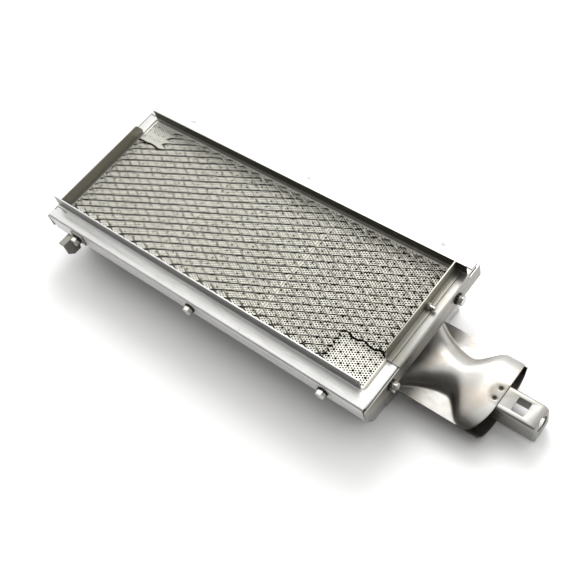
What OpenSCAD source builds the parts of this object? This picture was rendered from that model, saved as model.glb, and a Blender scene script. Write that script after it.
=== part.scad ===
// Infrared grill burner: ceramic tiles in a sheet-steel pan, a framed screen over them,
// and a stamped two-shell venturi with its orifice bracket.
// X runs along the burner towards the venturi, Y to the back, Z up from the pan's floor.

/* [Frame] */
// Length over the upright lips
lip_length = 318; // [240:1:420]
// Width over the upright lips
lip_width = 118; // [96:1:180]
// Height of the lips above the flanges
lip_height = 11.8; // [9:0.1:18]
// Width of the flange at each end
end_flange = 10.9; // [9.5:0.1:18]
// Width of the flange along each side
side_flange = 13.3; // [10.5:0.1:22]
// Height of the skirts
skirt_height = 15.4; // [13:0.1:24]
// Sheet thickness of the rails
rail_t = 1; // [0.7:0.1:1.4]
// Width of the foot of a lip angle
foot_width = 5; // [3:0.1:7]
// Length of lip and flange left out at the open corners
open_corner = 28.5; // [12:0.5:40]
// Length of the left lip and flange left out at the back corner
back_open_corner = 18.5; // [10:0.5:40]
// Gap between a side rail's end and the end skirt
rail_end_gap = 1.2; // [0.3:0.1:1.5]

/* [Pan] */
// Height of the tiles' seat above the underside of the pan
plenum_height = 37.5; // [34:0.1:64]
// Sheet thickness of the pan
pan_t = 0.8; // [0.6:0.1:1.2]
// Depth of the turned-down hem
hem_depth = 12; // [11:0.5:13]
// Gap between the hem and the skirts
hem_gap = 0.4; // [0.2:0.1:0.8]
// How far the pan's wall stands inside the lip's outer face
wall_inset = 0.2; // [0:0.1:0.5]

/* [Tiles] */
// Number of tiles
tile_count = 3; // [2:1:4]
// Thickness of a tile
tile_t = 13; // [10:0.5:16]
// Thickness of the edge gasket and of the joint strips
gasket_t = 1.2; // [0.8:0.1:2]
// Thickness of the bed gasket
bed_t = 1; // [0.5:0.1:2]
// How far the tiles lie below the top of the flanges
tile_drop = 1.7; // [1.2:0.1:4]
// Width of the ledges and of the cross bars
ledge_width = 8; // [5:0.5:12]
// Depth of the ledges and of the cross bars
ledge_depth = 5; // [4:0.5:6]

/* [Screen] */
// Long way of the mesh
mesh_long = 14.9; // [10:0.1:20]
// Short way of the mesh
mesh_short = 6.94; // [5:0.1:10]
// Width of a strand
strand_width = 1.4; // [0.8:0.1:2]
// Thickness of the expanded sheet
screen_t = 1.2; // [0.8:0.1:1.6]
// Height of the screen's underside above the tiles
screen_lift = 3.4; // [2:0.1:5]
// Gap between the screen and the lips
screen_gap = 1.2; // [0.5:0.1:3]
// Length of the cut-away front right corner
notch_length = 41; // [20:1:60]
// Width of the cut-away front right corner
notch_width = 33; // [15:1:40]
// Length of the cut-away back left corner
back_notch_length = 27; // [15:1:60]
// Width of the cut-away back left corner
back_notch_width = 24; // [12:1:40]
// Distance of the screen screw behind the middle
screw_y = 20.3; // [-10:0.1:35]
// Height of the screen screw over the flange
screw_rise = 3.6; // [3.4:0.1:4.5]

/* [Fasteners] */
// Thread diameter of the frame bolts
bolt_d = 4; // [3:0.5:5]
// Width across the flats of the bolt heads and nuts
bolt_af = 7; // [6.5:0.1:8]
// Height of a bolt head
head_height = 3.8; // [2:0.1:5]
// Thickness of a nut
nut_height = 2.4; // [2:0.1:3]
// Outer diameter of a lock washer
washer_d = 9.4; // [8:0.1:11]
// Thickness of a lock washer
washer_t = 1.4; // [0.5:0.1:2]
// Radial room round a bolt in its hole
bolt_room = 0.15; // [0.05:0.05:0.4]
// Depth of the bolts below the top of the flanges
bolt_drop = 7.7; // [7:0.1:9]
// Distance of the outer side bolts from the middle
side_bolt_x = 132; // [60:1:150]
// Distance of the end bolts from the middle
end_bolt_y = 42; // [20:1:50]

/* [Venturi] */
// Height of the seam between the shells
seam_z = 18; // [17:0.1:24]
// Sheet thickness of the shells
shell_t = 0.8; // [0.6:0.1:1.2]
// Half width over the seam flanges
seam_half = 33.3; // [28:0.1:42]
// How far the mouth stands out past the lip
mouth_reach = 74.5; // [66:0.5:110]
// Distance of the throat from the mouth
throat_back = 36; // [30:0.5:50]
// Half width of the channel at the throat
throat_half = 17; // [12:0.5:22]
// Half width of the channel at the outlet
outlet_half = 31; // [24:0.5:32]
// Length of the full-width mouth
mouth_length = 15; // [10:0.5:20]
// How far the outlet reaches into the pan
outlet_reach = 20; // [8:0.5:40]
// Upper shell's height over the seam at the mouth
mouth_up = 9.4; // [7:0.1:12]
// Lower shell's depth under the seam at the mouth
mouth_down = 17; // [10:0.1:17]
// Height of either shell at the throat
throat_up = 12.5; // [9:0.1:15]
// Height of either shell at the outlet
outlet_up = 11.5; // [8:0.1:15]
// Height of the collar plate round the outlet
collar_height = 34; // [33:0.5:40]
// Room between the shells and the sheets they pass
shell_room = 0.3; // [0.1:0.1:1]

/* [Orifice bracket] */
// Width of the channel
bracket_width = 20.8; // [16:0.1:28]
// Depth of the channel
bracket_depth = 20.4; // [16:0.1:21]
// Sheet thickness
bracket_t = 1.2; // [0.8:0.1:2]
// Length outside the mouth
bracket_reach = 31; // [24:0.5:50]
// Length inside the mouth
bracket_tuck = 11; // [6:0.5:14]
// Diameter of the orifice hole
orifice_d = 13; // [8:0.5:14]
// Length of the window
window_length = 10; // [6:0.5:12]
// Width of the window
window_width = 12; // [6:0.5:13]
// Distance of the window from the mouth
window_start = 9.5; // [6:0.5:12]

/* [Gas baffle] */
// Length of the baffle plate
baffle_length = 110; // [60:1:140]
// Width of the baffle plate
baffle_width = 84; // [80:1:92]
// How far the baffle plate covers the outlet
baffle_cover = 10; // [4:0.5:12]
// Gap between the upper shell and the baffle plate
baffle_gap = 1.5; // [0.8:0.1:2]

/* [Mounting ear] */
// How far the ear stands out from the skirt
ear_reach = 13.7; // [8:0.1:20]
// Height of the ear's blade
ear_height = 17; // [12:0.5:22]
// Sheet thickness of the ear
ear_t = 1.5; // [1:0.1:2]
// Distance from the bolt to the ear's blade
ear_offset = 7; // [7:0.1:14]
// Width of the ear's turned edge
ear_lip = 5; // [2:0.1:8]

/* [Hidden] */
$fn = 48;
fit = 0.1;
eps = 0.01;
fold_r = 1.3;
fold_steps = 5;

lip_x = lip_length / 2;
lip_y = lip_width / 2;
pan_height = plenum_height + bed_t + tile_t + tile_drop - rail_t;
flange_z = pan_height + rail_t;
skirt_x = lip_x + end_flange;
skirt_y = lip_y + side_flange;
bolt_z = flange_z - bolt_drop;
bolt_hole_r = bolt_d / 2 + bolt_room;
bend_top = fold_r + rail_t / 2;

inner_x = lip_x - wall_inset;
inner_y = lip_y - wall_inset;
hem_x = skirt_x - rail_t - hem_gap;
hem_y = skirt_y - rail_t - hem_gap;

tile_top = flange_z - tile_drop;
tile_base = tile_top - tile_t;
ledge_top = tile_base - bed_t;
field_x = inner_x - gasket_t;
field_y = inner_y - gasket_t;
tile_length = (2 * field_x - (tile_count - 1) * gasket_t) / tile_count;
tile_step = tile_length + gasket_t;

screen_x = lip_x - rail_t - screen_gap;
screen_y = lip_y - rail_t - screen_gap;
screen_z = tile_top + screen_lift;
screw_z = flange_z + screw_rise;
screw_r = 1.6;
screw_af = 5.4;
screw_head = 1.6;
screw_nut = 2.6;
screw_end = 4.2;

mouth_x = lip_x + mouth_reach;
flare_x = mouth_x - mouth_length;
throat_x = mouth_x - throat_back;
outlet_x = inner_x - outlet_reach;
wall_x = inner_x + pan_t;
mouth_half = seam_half - shell_t;
shell_steps = 24;
arch_steps = 20;
bracket_half = bracket_width / 2;
bracket_top = seam_z + (mouth_up - shell_t) * arch(bracket_half / (mouth_half - shell_t)) - fit / 2;
bracket_x = mouth_x + bracket_reach;
baffle_z = seam_z + outlet_up + baffle_gap;

// ---- Shared shapes ----

// Middle-line points of a folded sheet, each with its direction of travel
function middle_line(path, r) = [for (i = [0 : len(path) - 1])
    each i == 0 ? [[path[0], unit(path[1] - path[0])]]
       : i == len(path) - 1 ? [[path[i], unit(path[i] - path[i - 1])]]
       : bend(path[i], unit(path[i - 1] - path[i]), unit(path[i + 1] - path[i]), r)];

function unit(v) = v / norm(v);

// A right-angled bend at corner b, arriving along -u and leaving along v
function bend(b, u, v, r) = [for (k = [0 : fold_steps]) let (a = 90 * k / fold_steps)
    [b + (u + v) * r - u * r * sin(a) - v * r * cos(a), v * sin(a) - u * cos(a)]];

// Cross-section of a sheet of thickness t folded along a path of right angles
module folded(path, t, r = fold_r) {
    line = middle_line(path, r);
    last = len(line) - 1;
    polygon(concat(
        [for (p = line) p[0] + [-p[1].y, p[1].x] * t / 2],
        [for (i = [0 : last]) line[last - i][0] - [-line[last - i][1].y, line[last - i][1].x] * t / 2]));
}

module along_x(length) {
    translate([-length / 2, 0, 0])
        rotate([90, 0, 90])
            linear_extrude(length) children();
}

module along_y(length) {
    translate([0, length / 2, 0])
        rotate([90, 0, 0])
            linear_extrude(length) children();
}

// A box given by its low and high corners
module block(low, high) {
    translate(low) cube(high - low);
}

module hexagon(af, height) {
    cylinder(r = af / sqrt(3), h = height, $fn = 6);
}

// Children placed at each side bolt, +Z pointing out of the skirt
module at_side_bolts() {
    for (turn = [0, 180], i = [-1 : 1])
        rotate([0, 0, turn])
            translate([i * side_bolt_x, -skirt_y - (turn == 0 && i == -1 ? ear_t : 0), bolt_z])
                rotate([90, 0, 0]) children();
}

module at_end_bolts() {
    for (turn = [0, 180], side = [-1, 1])
        rotate([0, 0, turn])
            translate([skirt_x, side * end_bolt_y, bolt_z])
                rotate([0, 90, 0]) children();
}

// Holes for the bolts through the skirts and the hem
module bolt_holes() {
    hole_depth = 6 + rail_t + hem_gap + pan_t;
    at_side_bolts() translate([0, 0, -hole_depth / 2]) cylinder(r = bolt_hole_r, h = hole_depth);
    at_end_bolts() translate([0, 0, -hole_depth / 2]) cylinder(r = bolt_hole_r, h = hole_depth);
}

module bolt(length) {
    hexagon(bolt_af, head_height);
    translate([0, 0, -length]) cylinder(d = bolt_d, h = length + eps);
}

// Ring with outward teeth
module lock_washer() {
    teeth = 10;
    linear_extrude(washer_t)
        difference() {
            polygon([for (i = [0 : 2 * teeth - 1]) let (r = i % 2 == 0 ? washer_d / 2 : washer_d / 2 - 1)
                for (edge = [-6, 6]) r * [cos(180 * i / teeth + edge), sin(180 * i / teeth + edge)]]);
            circle(r = bolt_hole_r);
        }
}

module nut(af, height, r) {
    difference() {
        hexagon(af, height);
        translate([0, 0, -1]) cylinder(r = r, h = height + 2);
    }
}

// ---- Frame ----

// The front rail; the back rail is the same part turned end for end
module side_rail() {
    rail_end = skirt_x - rail_t - rail_end_gap;
    lip_slant = 4.5;
    skirt_slant = 4.5;
    lip_stop = 2;
    difference() {
        translate([0, -lip_y, 0]) mirror([0, 1, 0]) along_x(2 * rail_end)
            folded([[-rail_t / 2, flange_z + lip_height], [-rail_t / 2, flange_z - rail_t / 2],
                    [side_flange - rail_t / 2, flange_z - rail_t / 2],
                    [side_flange - rail_t / 2, flange_z - skirt_height]], rail_t);
        // left end of the lip, slanted, and its right end, square
        translate([0, -lip_y - bend_top, 0]) rotate([90, 0, 180]) mirror([1, 0, 0])
            translate([0, 0, -bend_top - rail_t - 1]) linear_extrude(bend_top + rail_t + 1)
            polygon([[-rail_end - 1, flange_z - rail_t - 1], [-lip_x + lip_slant, flange_z - rail_t - 1],
                     [-lip_x + lip_slant, flange_z], [-lip_x, flange_z + lip_height + 1],
                     [-rail_end - 1, flange_z + lip_height + 1]]);
        block([lip_x - lip_stop, -lip_y - bend_top, flange_z - rail_t - 1],
              [rail_end + 1, -lip_y + rail_t + 1, flange_z + lip_height + 1]);
        // slanted left end of the skirt
        translate([0, -skirt_y + rail_t + eps, 0]) rotate([90, 0, 0]) linear_extrude(rail_t + 1)
            polygon([[-rail_end - 1, flange_z - bend_top], [-rail_end, flange_z - bend_top],
                     [-rail_end + skirt_slant, flange_z - skirt_height - 1],
                     [-rail_end - 1, flange_z - skirt_height - 1]]);
        bolt_holes();
    }
}

module front_rail() { color("gainsboro") side_rail(); }

module back_rail() { color("gainsboro") rotate([0, 0, 180]) side_rail(); }

// The right end rail: flange between the corners, skirt over the full width
module end_rail(open = open_corner) {
    difference() {
        translate([lip_x, 0, 0]) along_y(2 * skirt_y)
            folded([[-rail_t, flange_z - rail_t / 2], [end_flange - rail_t / 2, flange_z - rail_t / 2],
                    [end_flange - rail_t / 2, flange_z - skirt_height]], rail_t);
        block([lip_x - rail_t - 1, -skirt_y - 1, flange_z - bend_top],
              [skirt_x + 1, -lip_y + open, flange_z + 1]);
        block([lip_x - rail_t - 1, lip_y - fit, flange_z - bend_top],
              [skirt_x + 1, skirt_y + 1, flange_z + 1]);
        bolt_holes();
    }
}

module right_end_rail() { color("darkgray") end_rail(); }

module left_end_rail() { color("darkgray") rotate([0, 0, 180]) end_rail(back_open_corner); }

// Upright lip with a foot on the end rail's flange, its free top corner clipped
module lip_angle(open = open_corner) {
    low_y = -lip_y + open;
    high_y = lip_y - rail_t - fit;
    clip = [8, 4];
    difference() {
        translate([lip_x, (low_y + high_y) / 2, 0]) along_y(high_y - low_y)
            folded([[-rail_t / 2, flange_z + lip_height], [-rail_t / 2, flange_z + rail_t / 2],
                    [foot_width - rail_t, flange_z + rail_t / 2]], rail_t, rail_t);
        translate([lip_x - rail_t - 1, 0, 0]) rotate([90, 0, 90]) linear_extrude(rail_t + 2)
            polygon([[low_y - 1, flange_z + lip_height + 1], [low_y - 1, flange_z + lip_height - clip.x],
                     [low_y, flange_z + lip_height - clip.x], [low_y + clip.y, flange_z + lip_height + eps],
                     [low_y + clip.y, flange_z + lip_height + 1]]);
    }
}

module right_lip_angle() {
    color("gray") difference() {
        lip_angle();
        at_screen_screw() translate([0, 0, -rail_t - 1]) cylinder(r = screw_r + bolt_room, h = rail_t + 2);
    }
}

module left_lip_angle() { color("gray") rotate([0, 0, 180]) lip_angle(back_open_corner); }

// ---- Pan ----

// Outline of both shells at the outlet, with room round it
module venturi_outline(room) {
    half = outlet_half + room;
    rise = outlet_up - shell_t;
    angles = [for (k = [0 : arch_steps]) 180 * k / arch_steps];
    translate([0, seam_z]) polygon(concat(
        [[-seam_half - room, shell_t + room]],
        [for (a = angles) [-half * cos(a), shell_t + room + rise * arch(abs(cos(a)))]],
        [[seam_half + room, shell_t + room], [seam_half + room, -shell_t - room]],
        [for (a = angles) [half * cos(a), -shell_t - room - rise * arch(abs(cos(a)))]],
        [[-seam_half - room, -shell_t - room]]));
}

module pan() {
    color("whitesmoke") difference() {
        union() {
            block([-inner_x - pan_t, -inner_y - pan_t, 0], [inner_x + pan_t, inner_y + pan_t, pan_height]);
            block([-hem_x, -hem_y, pan_height - pan_t], [hem_x, hem_y, pan_height]);
            difference() {
                block([-hem_x, -hem_y, pan_height - hem_depth], [hem_x, hem_y, pan_height]);
                block([-hem_x + pan_t, -hem_y + pan_t, pan_height - hem_depth - 1],
                      [hem_x - pan_t, hem_y - pan_t, pan_height - pan_t]);
            }
        }
        block([-inner_x, -inner_y, pan_t], [inner_x, inner_y, pan_height + 1]);
        bolt_holes();
        translate([inner_x - 1, 0, 0]) rotate([90, 0, 90]) linear_extrude(pan_t + 2) venturi_outline(2 * shell_room);
    }
}

// ---- Tiles and what carries them ----

module tile(i) {
    low_x = -field_x + i * tile_step;
    block([low_x, -field_y, tile_base], [low_x + tile_length, field_y, tile_top]);
}

// The middle node holds every tile between the two outer ones
module tile_left() { color("ivory") tile(0); }

module tile_middle() {
    color("ivory") for (i = [1 : 1 : tile_count - 2]) tile(i);
    if (tile_count < 3) color("ivory") tile(tile_count - 1);
}

module tile_right() { color("ivory") tile(tile_count - 1); }

gasket_top = tile_top - 0.3;

module tile_edge_gasket() {
    color("linen") difference() {
        block([-inner_x, -inner_y, tile_base], [inner_x, inner_y, gasket_top]);
        block([-field_x, -field_y, tile_base - 1], [field_x, field_y, gasket_top + 1]);
    }
}

module tile_joint_strips() {
    color("linen") for (i = [1 : 1 : tile_count - 1])
        block([-field_x + i * tile_step - gasket_t, -field_y, tile_base],
              [-field_x + i * tile_step, field_y, gasket_top]);
}

module tile_bed_gasket() {
    color("linen") difference() {
        block([-inner_x, -inner_y, ledge_top], [inner_x, inner_y, tile_base]);
        for (i = [0 : tile_count - 1]) {
            low_x = i == 0 ? -inner_x + ledge_width : -field_x + i * tile_step + (ledge_width - gasket_t) / 2;
            high_x = i == tile_count - 1 ? inner_x - ledge_width
                : -field_x + (i + 1) * tile_step - (ledge_width + gasket_t) / 2;
            block([low_x, -inner_y + ledge_width, ledge_top - 1], [high_x, inner_y - ledge_width, tile_base + 1]);
        }
    }
}

// Angle on the inside of a wall: u runs inwards from the wall
module ledge_section() {
    folded([[pan_t / 2, ledge_top - ledge_depth], [pan_t / 2, ledge_top - pan_t / 2],
            [ledge_width, ledge_top - pan_t / 2]], pan_t, pan_t);
}

module front_ledge() {
    color("silver") translate([0, -inner_y, 0]) along_x(2 * inner_x - fit) ledge_section();
}

module back_ledge() { color("silver") rotate([0, 0, 180]) translate([0, -inner_y, 0]) along_x(2 * inner_x - fit) ledge_section(); }

module left_ledge() {
    color("silver") translate([-inner_x, 0, 0]) along_y(2 * (inner_y - ledge_width - fit)) ledge_section();
}

module right_ledge() {
    color("silver") rotate([0, 0, 180]) translate([-inner_x, 0, 0])
        along_y(2 * (inner_y - ledge_width - fit)) ledge_section();
}

// An angle under each joint between two tiles
module tile_cross_bars() {
    color("silver") for (i = [1 : 1 : tile_count - 1])
        translate([-field_x + i * tile_step - (ledge_width + gasket_t) / 2, 0, 0])
            along_y(2 * (inner_y - ledge_width - fit)) ledge_section();
}

// ---- Screen ----

// Expanded sheet: staggered diamonds that lie wholly inside the sheet and off its notches
module screen() {
    edge = strand_width;
    slope = atan(mesh_short / mesh_long);
    half_long = mesh_long / 2 - strand_width / 2 / sin(slope);
    half_short = mesh_short / 2 - strand_width / 2 / cos(slope);
    columns = ceil(screen_x / mesh_long);
    rows = ceil(screen_y / mesh_short);
    reach_x = screen_x - edge - half_long;
    reach_y = screen_y - edge - half_short;
    margin = [edge + half_long, edge + half_short];
    front_clear = [screen_x - notch_length, screen_y - notch_width] - margin;
    back_clear = [screen_x - back_notch_length, screen_y - back_notch_width] - margin;
    color("dimgray") {
        translate([0, 0, screen_z]) linear_extrude(screen_t) difference() {
            sheet_outline();
            for (i = [-2 * columns : 2 * columns], j = [-2 * rows : 2 * rows]) {
                x = i * mesh_long / 2;
                y = j * mesh_short / 2;
                clear = x > 0 ? front_clear : back_clear;
                off_notch = x * y > 0 || abs(x) < clear.x || abs(y) < clear.y;
                if ((i + j) % 2 == 0 && abs(x) < reach_x && abs(y) < reach_y && off_notch)
                    polygon([[x - half_long, y], [x, y - half_short], [x + half_long, y], [x, y + half_short]]);
            }
        }
        // edges turned down on to the tiles
        translate([0, 0, tile_top]) linear_extrude(screen_lift + eps) difference() {
            sheet_outline();
            square(2 * [screen_x - edge, screen_y - edge], center = true);
        }
    }
}

// The sheet less its front right and back left corners
module sheet_outline() {
    front = [screen_x - notch_length, screen_y - notch_width];
    back = [screen_x - back_notch_length, screen_y - back_notch_width];
    polygon([[-screen_x, -screen_y], [front.x, -screen_y], [front.x, -front.y], [screen_x, -front.y],
             [screen_x, screen_y], [-back.x, screen_y], [-back.x, back.y], [-screen_x, back.y]]);
}

module at_screen_screw() {
    translate([lip_x, screw_y, screw_z]) rotate([0, 90, 0]) children();
}

module screen_screw() {
    color("white") at_screen_screw() {
        translate([0, 0, -rail_t - screw_head]) cylinder(r = 2 * screw_r, h = screw_head);
        translate([0, 0, -rail_t - eps]) cylinder(r = screw_r, h = rail_t + screw_nut + screw_end);
    }
}

module screen_nut() { color("white") at_screen_screw() nut(screw_af, screw_nut, screw_r + eps); }

// ---- Fasteners ----

bolt_length = washer_t + rail_t + hem_gap + pan_t + nut_height + 1.6;

module side_bolts() { color("lightgray") at_side_bolts() translate([0, 0, washer_t]) bolt(bolt_length + ear_t); }

module side_washers() { color("black") at_side_bolts() lock_washer(); }

module side_nuts() {
    color("lightgray") for (turn = [0, 180], i = [-1 : 1])
        rotate([0, 0, turn])
            translate([i * side_bolt_x, -hem_y + pan_t, bolt_z])
                rotate([-90, 0, 0]) nut(bolt_af, nut_height, bolt_d / 2 + eps);
}

module end_bolts() { color("lightgray") at_end_bolts() translate([0, 0, washer_t]) bolt(bolt_length); }

module end_washers() { color("black") at_end_bolts() lock_washer(); }

module end_nuts() {
    color("lightgray") for (turn = [0, 180], side = [-1, 1])
        rotate([0, 0, turn])
            translate([hem_x - pan_t, side * end_bolt_y, bolt_z])
                rotate([0, -90, 0]) nut(bolt_af, nut_height, bolt_d / 2 + eps);
}

// ---- Venturi ----

// Height of the arched channel across its width, from 1 in the middle to 0 at its foot
function arch(v) = pow(1 - pow(min(1, v), 2.8), 0.62);

function ease(s) = (1 - cos(180 * min(1, max(0, s)))) / 2;

// Half width of the channel: wide at the mouth, narrow at the throat, wide at the outlet
function channel_half(x) = x > throat_x
    ? throat_half + (mouth_half - throat_half) * ease((x - throat_x) / (flare_x - throat_x))
    : throat_half + (outlet_half - throat_half) * pow(min(1, (throat_x - x) / (throat_x - wall_x - 3)), 2);

// Height of a shell over the seam, given its height at the mouth
function channel_rise(x, mouth_rise) = x > throat_x
    ? throat_up + (mouth_rise - throat_up) * ease((x - throat_x) / (flare_x - throat_x))
    : throat_up + (outlet_up - throat_up) * ease((throat_x - x) / (throat_x - wall_x - 3));

// Closed ring of a shell's sheet at x: along the outside, then back along the inside
function shell_ring(x, mouth_rise) = let (
    w = channel_half(x),
    h = channel_rise(x, mouth_rise) - shell_t,
    angles = [for (k = [0 : arch_steps]) 180 * k / arch_steps])
    concat([[x, -seam_half, shell_t]],
           [for (a = angles) [x, -w * cos(a), shell_t + h * arch(abs(cos(a)))]],
           [[x, seam_half, shell_t], [x, seam_half, 0]],
           [for (a = angles) [x, (w - shell_t) * cos(a), h * arch(abs(cos(a)))]],
           [[x, -seam_half, 0]]);

module shell(mouth_rise) {
    rings = [for (i = [0 : shell_steps]) shell_ring(outlet_x + (mouth_x - outlet_x) * i / shell_steps, mouth_rise)];
    n = len(rings[0]);
    last = shell_steps * n;
    polyhedron([for (ring = rings) each ring], concat(
        [for (i = [0 : shell_steps - 1], j = [0 : n - 1]) let (a = i * n + j, b = i * n + (j + 1) % n)
            each [[a, b, b + n], [a, b + n, a + n]]],
        [for (j = [0 : n / 2 - 2]) each [[j, n - 1 - j, n - 2 - j], [j, n - 2 - j, j + 1]]],
        [for (j = [0 : n / 2 - 2]) each [[last + j, last + n - 2 - j, last + n - 1 - j],
                                         [last + j, last + j + 1, last + n - 2 - j]]]));
}

module venturi_upper_shell() { color("lightsteelblue") translate([0, 0, seam_z]) shell(mouth_up); }

module venturi_lower_shell() { color("slategray") translate([0, 0, seam_z]) mirror([0, 0, 1]) shell(mouth_down); }

// Plate on the outside of the pan's end wall, snug round the shells
module venturi_collar() {
    margin = 9;
    color("gray") translate([wall_x, 0, 0]) rotate([90, 0, 90]) linear_extrude(pan_t) difference() {
        translate([-seam_half - margin, seam_z - collar_height / 2 + eps]) square([2 * (seam_half + margin), collar_height]);
        venturi_outline(shell_room);
    }
}

// ---- Orifice bracket ----

// Channel open at the bottom, closed at its tip, its tuck inside the venturi's mouth
module orifice_bracket() {
    low_z = bracket_top - bracket_depth;
    back_x = mouth_x - bracket_tuck;
    window_x = mouth_x + window_start;
    color("silver") difference() {
        intersection() {
            translate([(back_x + bracket_x) / 2, 0, 0]) along_x(bracket_x - back_x)
                folded_outline(low_z, bracket_half, 0);
            along_y(bracket_width + 2) tip_outline(back_x, low_z, 0);
        }
        intersection() {
            translate([(back_x + bracket_x) / 2, 0, 0]) along_x(bracket_x - back_x + 2)
                folded_outline(low_z - 1, bracket_half - bracket_t, bracket_t);
            along_y(bracket_width + 2) tip_outline(back_x - 1, low_z - 1, bracket_t);
        }
        block([window_x, -window_width / 2, bracket_top - bracket_t - 1],
              [window_x + window_length, window_width / 2, bracket_top + 1]);
        translate([bracket_x - bracket_t - 1, 0, seam_z])
            rotate([0, 90, 0]) cylinder(d = orifice_d, h = bracket_t + 2);
    }
}

// Arch-topped cross-section with rounded shoulders, inset from the outer faces
module folded_outline(low_z, half, inset) {
    r = 2 * bracket_t - inset;
    top = bracket_top - inset;
    polygon(concat([[-half, low_z]],
        [for (k = [0 : fold_steps]) let (a = 180 - 90 * k / fold_steps) [-half + r, top - r] + r * [cos(a), sin(a)]],
        [for (k = [0 : fold_steps]) let (a = 90 - 90 * k / fold_steps) [half - r, top - r] + r * [cos(a), sin(a)]],
        [[half, low_z]]));
}

// Side outline with the top rounded down into the tip
module tip_outline(back_x, low_z, inset) {
    r = 5 - inset;
    top = bracket_top - inset;
    tip = bracket_x - inset;
    polygon(concat([[back_x, low_z], [back_x, top]],
        [for (k = [0 : fold_steps]) let (a = 90 - 90 * k / fold_steps) [tip - r, top - r] + r * [cos(a), sin(a)]],
        [[tip, low_z]]));
}

// ---- Mounting ear ----

// Leg under the front left bolt, blade square to the skirt, turned edge on the blade's top
module mounting_ear() {
    leg_half = 7.5;
    leg_z = flange_z - bend_top - 0.2;
    blade_x = -side_bolt_x - ear_offset;
    blade_top = bolt_z;
    clip = 5;
    color("dimgray") difference() {
        union() {
            block([blade_x, -skirt_y - ear_t, bolt_z - washer_d / 2 - 0.5], [-side_bolt_x + leg_half, -skirt_y, leg_z]);
            translate([blade_x, 0, 0]) rotate([90, 0, 90]) linear_extrude(ear_t)
                polygon([[-skirt_y, leg_z], [-skirt_y - ear_t, leg_z], [-skirt_y - ear_t, blade_top],
                         [-skirt_y - ear_reach, blade_top], [-skirt_y - ear_reach, blade_top - ear_height + clip],
                         [-skirt_y - ear_reach + clip, blade_top - ear_height],
                         [-skirt_y - ear_t, blade_top - ear_height], [-skirt_y, blade_top - ear_height + clip]]);
            block([blade_x - ear_lip, -skirt_y - ear_reach, blade_top - ear_t],
                  [blade_x + ear_t, -skirt_y - ear_t, blade_top]);
        }
        bolt_holes();
    }
}

// ---- Gas baffle ----

baffle_low_x = outlet_x + baffle_cover - baffle_length;

module baffle_plate() {
    color("silver") block([baffle_low_x, -baffle_width / 2, baffle_z],
                          [baffle_low_x + baffle_length, baffle_width / 2, baffle_z + pan_t]);
}

// A channel leg on each side of the venturi, from the floor to the plate
module baffle_legs() {
    leg_length = 30;
    color("silver") for (turn = [0, 180])
        translate([baffle_low_x + baffle_length / 2, 0, 0]) rotate([0, 0, turn])
            translate([0, -baffle_width / 2, 0]) along_x(leg_length)
                folded([[5, pan_t * 1.5], [pan_t / 2, pan_t * 1.5], [pan_t / 2, baffle_z - pan_t / 2],
                        [5, baffle_z - pan_t / 2]], pan_t, pan_t);
}

pan();
front_rail();
back_rail();
left_end_rail();
right_end_rail();
left_lip_angle();
right_lip_angle();
tile_left();
tile_middle();
tile_right();
tile_edge_gasket();
tile_joint_strips();
tile_bed_gasket();
front_ledge();
back_ledge();
left_ledge();
right_ledge();
tile_cross_bars();
screen();
screen_screw();
screen_nut();
side_bolts();
side_washers();
side_nuts();
end_bolts();
end_washers();
end_nuts();
venturi_upper_shell();
venturi_lower_shell();
venturi_collar();
orifice_bracket();
mounting_ear();
baffle_plate();
baffle_legs();
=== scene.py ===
import math

import bmesh
import bpy
from mathutils import Matrix, Vector


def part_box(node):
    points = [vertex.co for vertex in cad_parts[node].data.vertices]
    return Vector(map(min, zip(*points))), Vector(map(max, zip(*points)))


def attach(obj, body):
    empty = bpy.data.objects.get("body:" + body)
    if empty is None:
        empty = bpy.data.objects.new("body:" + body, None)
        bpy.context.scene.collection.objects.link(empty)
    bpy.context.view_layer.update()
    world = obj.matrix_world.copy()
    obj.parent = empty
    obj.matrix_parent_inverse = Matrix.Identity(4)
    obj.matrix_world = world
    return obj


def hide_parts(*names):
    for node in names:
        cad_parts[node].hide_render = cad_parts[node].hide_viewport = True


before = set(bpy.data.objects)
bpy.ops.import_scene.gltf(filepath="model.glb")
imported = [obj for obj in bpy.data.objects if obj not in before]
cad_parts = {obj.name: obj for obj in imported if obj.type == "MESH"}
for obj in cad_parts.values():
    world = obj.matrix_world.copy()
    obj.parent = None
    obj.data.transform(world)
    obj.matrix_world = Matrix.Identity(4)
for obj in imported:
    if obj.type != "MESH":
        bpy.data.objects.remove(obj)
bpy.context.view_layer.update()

# ---- Camera ----
# A short telephoto looking down on the burner from its front right, turned a little on its axis.
MM = 0.001
CAMERA_AZIMUTH = math.radians(55.48)
CAMERA_ELEVATION = math.radians(54.77)
CAMERA_ROLL = math.radians(20.05)
CAMERA_DISTANCE = 681.2 * MM
lip_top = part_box("front_rail")[1].z
aim = Vector((66.7 * MM, -25.2 * MM, lip_top))
forward = Vector((-math.sin(CAMERA_AZIMUTH) * math.cos(CAMERA_ELEVATION),
                  math.cos(CAMERA_AZIMUTH) * math.cos(CAMERA_ELEVATION),
                  -math.sin(CAMERA_ELEVATION)))
level = forward.cross(Vector((0, 0, 1))).normalized()
sink = forward.cross(level)
right = level * math.cos(CAMERA_ROLL) + sink * math.sin(CAMERA_ROLL)
upward = level * math.sin(CAMERA_ROLL) - sink * math.cos(CAMERA_ROLL)
camera = bpy.data.objects.new("camera", bpy.data.cameras.new("camera"))
camera.data.lens = 57.35
camera.data.clip_start = 0.01
turn = Matrix((right, upward, -forward)).transposed().to_4x4()
camera.matrix_world = Matrix.Translation(aim - forward * CAMERA_DISTANCE) @ turn
bpy.context.scene.collection.objects.link(camera)
bpy.context.scene.camera = camera

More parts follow.
